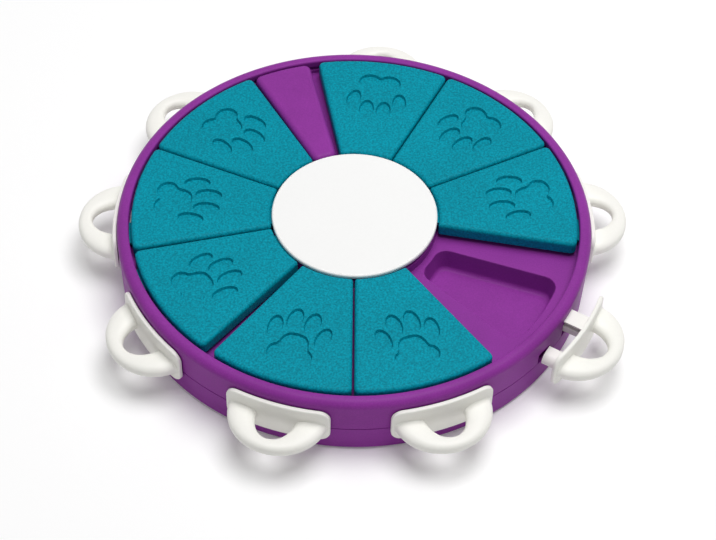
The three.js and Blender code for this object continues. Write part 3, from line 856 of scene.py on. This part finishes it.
def build_block(tray, block, hub):
    """A soft-edged shell, open below, that points along +X and is as high as the hub. Its tongue
    rides on the ledge under the hub and its two ribs ride in the rim's groove."""
    foot = [(block.foot - rise, block.low + inset)
            for inset, rise in round_over(block.foot, EDGE_FLATS // 2)]
    shoulder = [(inset, hub.high - block.edge + rise)
                for inset, rise in round_over(block.edge, 2 * CORNER_FLATS)]
    made = stacked("block", lambda inset: block_outline(block, inset), foot + shoulder)
    inside = block_outline(block, block.wall)
    cut(made, [slab("hollow", inside, block.low - OVERRUN, hub.high - block.wall)])
    tongue_end, edge = block.inner + block.wall / 2, block.wall / 4
    tongue = sector(block.tongue_inner, tongue_end, block.tongue_span, edge)
    united(made, [slab("tongue", tongue, tray.ledge_high + tray.seat_gap, block.tongue_high)])
    rib = sector(block.outer - edge, block.rib_outer, block.rib_end - block.rib_start, edge,
                 flats=CORNER_FLATS)
    middle = (block.rib_start + block.rib_end) / 2
    for angle in (-middle, middle):
        united(made, [slab("rib", rib, tray.groove_low + tray.seat_gap, block.rib_high, angle)])
    cut(made, paw_press(block, hub.high))
    return smoothed(made)


def block_angles(tray, block):
    """The blocks' directions, anticlockwise from the wedge."""
    trains = []
    for way, gaps in ((1, LEFT_GAPS), (-1, RIGHT_GAPS)):
        edge = tray.wedge_angle + way * tray.wedge_span / 2
        train = []
        for gap in gaps:
            train.append(edge + way * math.radians(gap) + way * block.span / 2)
            edge = train[-1] + way * block.span / 2
        trains.append(train)
    return trains[0] + trains[1][::-1]


# Handles

def plate_outline(handle, inner, inset):
    """The plate's outline as (along the wall, height) points, its second half above its first."""
    half = inner * math.sin(handle.plate_span / 2) - inset
    low, high = handle.plate_low + inset, handle.plate_high - inset
    corner = handle.plate_corner - inset
    straight = half - corner
    turns = [math.pi / 2 * i / CORNER_FLATS for i in range(CORNER_FLATS + 1)]
    right = [(straight + corner * math.sin(a), corner * (1 - math.cos(a))) for a in turns]
    middle = [(straight * (2 * i / ARC_FLATS - 1), 0) for i in range(1, ARC_FLATS)]
    lower = [(-x, rise) for x, rise in right[::-1]] + middle + right
    return [(x, low + rise) for x, rise in lower] + [(x, high - rise) for x, rise in lower[::-1]]


def handle_plate(handle, inner):
    """The curved plate that lies against the wall. inner is its inner face's radius."""
    edge, outer = handle.plate_edge, inner + handle.plate_thickness
    back = [(edge / 4, inner), (0, inner + edge / 4)]
    front = [(inset, outer - edge + rise) for inset, rise in round_over(edge)]
    rings = []
    for inset, reach in back + front:
        bent = [(x / inner, height) for x, height in plate_outline(handle, inner, inset)]
        rings.append([(reach * math.cos(a), reach * math.sin(a), height) for a, height in bent])
    return skin("plate", rings, strips=True)


def handle_loop(handle, inner):
    """The D-shaped loop: rounded sections from its outer edge to its window, flared at the plate."""
    face = inner + handle.plate_thickness
    seat = face - handle.plate_thickness / 2
    rings = []
    for step in range(LOOP_STEPS + 1):
        turned = math.pi / 2 * (1 - math.cos(math.pi * step / LOOP_STEPS))
        along, across = math.sin(turned), math.cos(turned)
        edges = []
        for half_width, reach in ((handle.half_width, handle.reach),
                                  (handle.window_half_width, handle.window_reach)):
            root = math.sqrt(seat ** 2 - half_width ** 2)
            edges.append(Vector((root + (face + reach - root) * along, half_width * across, 0)))
        middle, spread = (edges[0] + edges[1]) / 2, (edges[0] - edges[1]) / 2
        half = (handle.root_height + (handle.tip_height - handle.root_height) * along) / 2
        gap = min(1, max(0, (middle.xy.length - face) / handle.root_fillet))
        flare = handle.root_fillet * (1 - math.sqrt(1 - (1 - gap) ** 2))
        spread *= 1 + flare / spread.length
        ring = []
        for side in range(LOOP_SIDES):
            a = FULL_TURN * side / LOOP_SIDES
            u, v = (math.copysign(abs(w) ** LOOP_SQUARENESS, w) for w in (math.cos(a), math.sin(a)))
            point = middle + spread * u
            ring.append((point.x, point.y, handle.level + (half + flare) * v))
        rings.append(ring)
    return skin("loop", rings)


def beam(start, end, corners):
    """A straight beam along +X whose section is an outline of rounded (y, z) corners."""
    section = rounded(corners)
    return skin("beam", [[(x, y, z) for y, z in section] for x in (start, end)])


def handle_prongs(handle, inner, low):
    """The long tongue with its barbs, the rib under it and the rounded bar beside them. low is the
    height of the tongue's lower face."""
    seat = inner + handle.plate_thickness / 2
    left, right = handle.tongue_start, handle.tongue_start + handle.tongue_width
    barb, tip = handle.barb_reach, handle.tongue_tip
    barb_end, small = tip + handle.barb_length, handle.rib_round / 8
    tongue = rounded([
        (tip, left - barb, small), (barb_end, left - barb, small), (barb_end, left, 0),
        (seat, left, 0), (seat, right, 0), (barb_end, right, 0),
        (barb_end, right + barb, small), (tip, right + barb, small)])
    bar_left, bar_right = handle.bar_start, handle.bar_start + handle.bar_width
    bar_seat = math.sqrt(seat ** 2 - bar_left ** 2)
    return [
        slab("tongue", tongue, low, handle.tongue_high),
        beam(handle.bar_tip, seat, [
            (left, handle.rib_low, handle.rib_round), (right, handle.rib_low, handle.rib_round),
            (right, handle.rib_high, small), (left, handle.rib_high, small)]),
        beam(handle.bar_tip, bar_seat, [
            (bar_left, handle.bar_low, handle.rib_round), (bar_right, handle.bar_low, small),
            (bar_right, handle.bar_high, small), (bar_left, handle.bar_high, handle.bar_round)]),
    ]


def build_handle(tray, handle):
    """A handle that points along +X, whose plate lies against the wall and its tongue on the floor."""
    inner, low = tray.radius + tray.seat_gap, tray.floor + tray.seat_gap
    made = united(handle_plate(handle, inner), [handle_loop(handle, inner)])
    for prong in handle_prongs(handle, inner, low):
        united(made, [prong])
    return smoothed(made)


# Geometry trees that set pieces out

def geometry_tree(name, inputs):
    """A tree with the named inputs. Returns it with the sockets that give them."""
    tree = bpy.data.node_groups.new(name, "GeometryNodeTree")
    for label, kind in [("Geometry", "Geometry"), *inputs]:
        tree.interface.new_socket(label, in_out="INPUT", socket_type="NodeSocket" + kind)
    tree.interface.new_socket("Geometry", in_out="OUTPUT", socket_type="NodeSocketGeometry")
    return tree, add_node(tree, "NodeGroupInput").outputs


def closed_tree(tree, shape, look):
    """Ends a tree in real geometry with its material."""
    real = add_node(tree, "GeometryNodeRealizeInstances", {"Geometry": shape})
    painted = add_node(tree, "GeometryNodeSetMaterial", {"Geometry": real, "Material": look})
    add_node(tree, "NodeGroupOutput", {"Geometry": painted})
    return tree


def ray_tree():
    """Moves a piece outwards along +X and then turns it about the axis."""
    tree, given = geometry_tree("Piece on a ray", [
        ("Angle", "Float"), ("Shift", "Float"), ("Material", "Material")])
    outwards = add_node(tree, "ShaderNodeCombineXYZ", {"X": given["Shift"]})
    turned = add_node(tree, "ShaderNodeCombineXYZ", {"Z": given["Angle"]})
    moved = add_node(tree, "GeometryNodeTransform", {
        "Geometry": given["Geometry"], "Translation": outwards})
    shape = add_node(tree, "GeometryNodeTransform", {"Geometry": moved, "Rotation": turned})
    return closed_tree(tree, shape, given["Material"])


def screws_tree():
    """Sets a screw on each point, lifted to its seat, with its cross turned at random."""
    tree, given = geometry_tree("Screws on points", [
        ("Screw", "Object"), ("Seat", "Float"), ("Material", "Material")])
    screw = add_node(tree, "GeometryNodeObjectInfo", {"Object": given["Screw"]})
    turned = add_node(tree, "FunctionNodeRandomValue", {"Max": (0, 0, FULL_TURN), "Seed": SCREW_SEED},
                      data_type="FLOAT_VECTOR")
    copies = add_node(tree, "GeometryNodeInstanceOnPoints", {
        "Points": given["Geometry"], "Instance": screw.outputs["Geometry"], "Rotation": turned})
    lift = add_node(tree, "ShaderNodeCombineXYZ", {"Z": given["Seat"]})
    lifted = add_node(tree, "GeometryNodeTranslateInstances", {"Instances": copies, "Translation": lift})
    return closed_tree(tree, lifted, given["Material"])


def set_out(made, tree, inputs):
    """The object with a geometry tree run on it and turned into plain mesh."""
    change = made.modifiers.new(tree.name, "NODES")
    change.node_group = tree
    for socket in tree.interface.items_tree:
        if socket.in_out == "INPUT" and socket.name in inputs:
            change[socket.identifier] = inputs[socket.name]
    return settled(made)


def set_round(pattern, look, slot, pieces):
    """Turns a copy of the pattern to each piece's place. Each piece is given by its model node, name,
    body, angle and move outwards."""
    tree = ray_tree()
    for node, name, body, angle, shift in pieces:
        made = linked(name, pattern.data.copy())
        set_out(made, tree, {"Angle": angle, "Shift": shift, "Material": look})
        finished(made, look, slot, body, node)
    bpy.data.objects.remove(pattern)


# Stage

def seen_directly(tree):
    """A node that is 1 where the camera sees a surface, also in a shiny or clear one, and 0 elsewhere."""
    rays = add_node(tree, "ShaderNodeLightPath").outputs
    shiny = add_node(tree, "ShaderNodeMath", {
        0: rays["Is Camera Ray"], 1: rays["Is Glossy Ray"]}, operation="MAXIMUM")
    return add_node(tree, "ShaderNodeMath", {
        0: shiny, 1: rays["Is Transmission Ray"]}, operation="MAXIMUM")


def build_floor(stage, colours):
    """A plain pale floor that shows as white round the toy and keeps its shadow."""
    half = stage.floor_half
    made = mesh_object("floor", [(-half, -half, 0), (half, -half, 0), (half, half, 0), (-half, half, 0)],
                       [(0, 1, 2, 3)])
    look, tree = blank_material("Pale paper")
    seen = seen_directly(tree)
    lift = add_node(tree, "ShaderNodeMath", {0: seen, 1: stage.floor_lift}, operation="MULTIPLY")
    paper = add_node(tree, "ShaderNodeBsdfDiffuse", {"Color": tuple(colours.floor)})
    glow = add_node(tree, "ShaderNodeEmission", {"Strength": lift})
    both = add_node(tree, "ShaderNodeAddShader", {0: paper, 1: glow})
    add_node(tree, "ShaderNodeOutputMaterial", {"Surface": both})
    made.data.materials.append(look)


def build_light(name, place, size, power):
    """A square soft light that faces the toy."""
    lamp = bpy.data.lights.new(name, "AREA")
    lamp.size = size
    lamp.energy = power
    made = linked(name, lamp)
    made.location = place
    made.rotation_euler = (-Vector(place)).to_track_quat("-Z", "Y").to_euler()


def build_world(stage):
    """Even light from all round, with white where the camera or a shiny surface looks past the toy."""
    world = bpy.data.worlds.new("studio")
    world.use_nodes = True
    tree = world.node_tree
    tree.nodes.clear()
    seen = seen_directly(tree)
    strength = add_node(tree, "ShaderNodeMapRange", {
        "Value": seen, "To Min": stage.sky_strength, "To Max": 1.0})
    sky = add_node(tree, "ShaderNodeBackground", {"Color": (1, 1, 1, 1), "Strength": strength})
    add_node(tree, "ShaderNodeOutputWorld", {"Surface": sky})
    bpy.context.scene.world = world


def build_camera(stage):
    forward = Vector(stage.camera_forward).normalized()
    up = Vector(stage.camera_up).normalized()
    turned = Matrix((forward.cross(up), up, -forward)).transposed().to_4x4()
    lens = bpy.data.cameras.new("camera")
    lens.lens = stage.focal_share * lens.sensor_width
    made = linked("camera", lens)
    made.matrix_world = Matrix.Translation(stage.camera_place) @ turned
    bpy.context.scene.camera = made


# Operators, one for each piece or group of like pieces and one for the stage

class OBJECT_OT_puzzle_tray(bpy.types.Operator):
    """Build the tray with its rim, wells and wedge"""
    bl_idname = "object.puzzle_tray"
    bl_label = "Tray"

    def execute(self, context):
        scene = context.scene
        made = build_tray(
            scene.puzzle_tray, scene.puzzle_block, scene.puzzle_handle, scene.puzzle_hub)
        finished(made, satin_polypropylene(context), "purple_plastic", "body", "tray")
        return {"FINISHED"}


class OBJECT_OT_puzzle_cover(bpy.types.Operator):
    """Build the cover that closes the tray from below"""
    bl_idname = "object.puzzle_cover"
    bl_label = "Base cover"

    def execute(self, context):
        made = build_cover(context.scene.puzzle_tray, context.scene.puzzle_hub)
        finished(made, satin_polypropylene(context), "purple_plastic", "body", "base_cover")
        return {"FINISHED"}


class OBJECT_OT_puzzle_hub(bpy.types.Operator):
    """Build the bare white hub"""
    bl_idname = "object.puzzle_hub"
    bl_label = "Hub"

    def execute(self, context):
        made = build_hub(context.scene.puzzle_tray, context.scene.puzzle_hub)
        finished(made, smooth_abs(context), "white_plastic", "body", "hub_cap")
        return {"FINISHED"}


class OBJECT_OT_puzzle_blocks(bpy.types.Operator):
    """Build the eight sliding blocks"""
    bl_idname = "object.puzzle_blocks"
    bl_label = "Sliding blocks"

    def execute(self, context):
        tray, block, hub = (
            context.scene.puzzle_tray, context.scene.puzzle_block, context.scene.puzzle_hub)
        pieces = [(node, f"turquoise_block_{i + 1}", f"block_{i + 1}", angle, 0.0)
                  for i, (node, angle) in enumerate(zip(BLOCK_NAMES, block_angles(tray, block)))]
        set_round(build_block(tray, block, hub), spark_textured_abs(context), "turquoise_plastic", pieces)
        return {"FINISHED"}


class OBJECT_OT_puzzle_handles(bpy.types.Operator):
    """Build the nine pull handles"""
    bl_idname = "object.puzzle_handles"
    bl_label = "Pull handles"

    def execute(self, context):
        tray, handle = context.scene.puzzle_tray, context.scene.puzzle_handle
        pieces = []
        for i, node in enumerate(HANDLE_NAMES):
            shift = handle.pull if node == PULLED_HANDLE else 0.0
            pieces.append((node, f"white_handle_{i + 1}", f"handle_{i + 1}", well_angle(tray, i), shift))
        set_round(build_handle(tray, handle), smooth_polypropylene(context), "white_plastic", pieces)
        return {"FINISHED"}


class OBJECT_OT_puzzle_screws(bpy.types.Operator):
    """Build the screws that hold the cover and the hub"""
    bl_idname = "object.puzzle_screws"
    bl_label = "Screws"

    def execute(self, context):
        tray, hub, look = context.scene.puzzle_tray, context.scene.puzzle_hub, zinc_plated_steel(context)
        tree, hub_seat = screws_tree(), tray.floor - tray.floor_thickness - tray.seat_gap
        for name, angles, circle, seat, shank in (
                ("base_screw", cover_screw_angles(tray), hub.post_circle, hub.cover_seat, hub.cover_length),
                ("hub_screw", hub_screw_angles(), hub.screw_circle, hub_seat, hub.screw_length)):
            pattern = build_screw(hub, shank)
            places = [(circle * math.cos(a), circle * math.sin(a), 0) for a in angles]
            made = mesh_object("steel_" + name + "s", places, [])
            set_out(made, tree, {"Screw": pattern, "Seat": seat, "Material": look})
            bpy.data.objects.remove(pattern)
            nodes = [f"{name}_{i + 1}" for i in range(len(angles))]
            finished(made, look, "screw_steel", "body", *nodes)
        return {"FINISHED"}


class OBJECT_OT_puzzle_stage(bpy.types.Operator):
    """Build the floor, the lights and the camera"""
    bl_idname = "object.puzzle_stage"
    bl_label = "Stage"

    def execute(self, context):
        stage = context.scene.puzzle_stage
        build_floor(stage, context.scene.puzzle_colours)
        build_light("key", stage.key_place, stage.key_size, stage.key_power)
        build_light("fill", stage.fill_place, stage.fill_size, stage.fill_power)
        build_world(stage)
        build_camera(stage)
        context.scene.view_settings.view_transform = "Standard"
        return {"FINISHED"}


OPERATORS = (
    OBJECT_OT_puzzle_tray,
    OBJECT_OT_puzzle_cover,
    OBJECT_OT_puzzle_hub,
    OBJECT_OT_puzzle_blocks,
    OBJECT_OT_puzzle_handles,
    OBJECT_OT_puzzle_screws,
    OBJECT_OT_puzzle_stage,
)


class VIEW3D_PT_puzzle(bpy.types.Panel):
    """Lists the sizes and the pieces"""
    bl_idname = "VIEW3D_PT_puzzle"
    bl_label = "Treat puzzle"
    bl_space_type = "VIEW_3D"
    bl_region_type = "UI"
    bl_category = "Treat puzzle"

    def draw(self, context):
        for operator in OPERATORS:
            self.layout.operator(operator.bl_idname)
        for attribute, group in GROUPS.items():
            box_layout = self.layout.box()
            box_layout.label(text=group.__doc__)
            for key in group.__annotations__:
                box_layout.prop(getattr(context.scene, attribute), key)


CLASSES = (*GROUPS.values(), *OPERATORS, VIEW3D_PT_puzzle)


def register():
    for each in CLASSES:
        bpy.utils.register_class(each)
    for attribute, group in GROUPS.items():
        setattr(bpy.types.Scene, attribute, bpy.props.PointerProperty(type=group))


def unregister():
    for attribute in GROUPS:
        delattr(bpy.types.Scene, attribute)
    for each in reversed(CLASSES):
        bpy.utils.unregister_class(each)


def main():
    register()
    bpy.ops.object.puzzle_stage()
    bpy.ops.object.puzzle_tray()
    bpy.ops.object.puzzle_cover()
    bpy.ops.object.puzzle_hub()
    bpy.ops.object.puzzle_blocks()
    bpy.ops.object.puzzle_handles()
    bpy.ops.object.puzzle_screws()


if __name__ == "__main__":
    main()
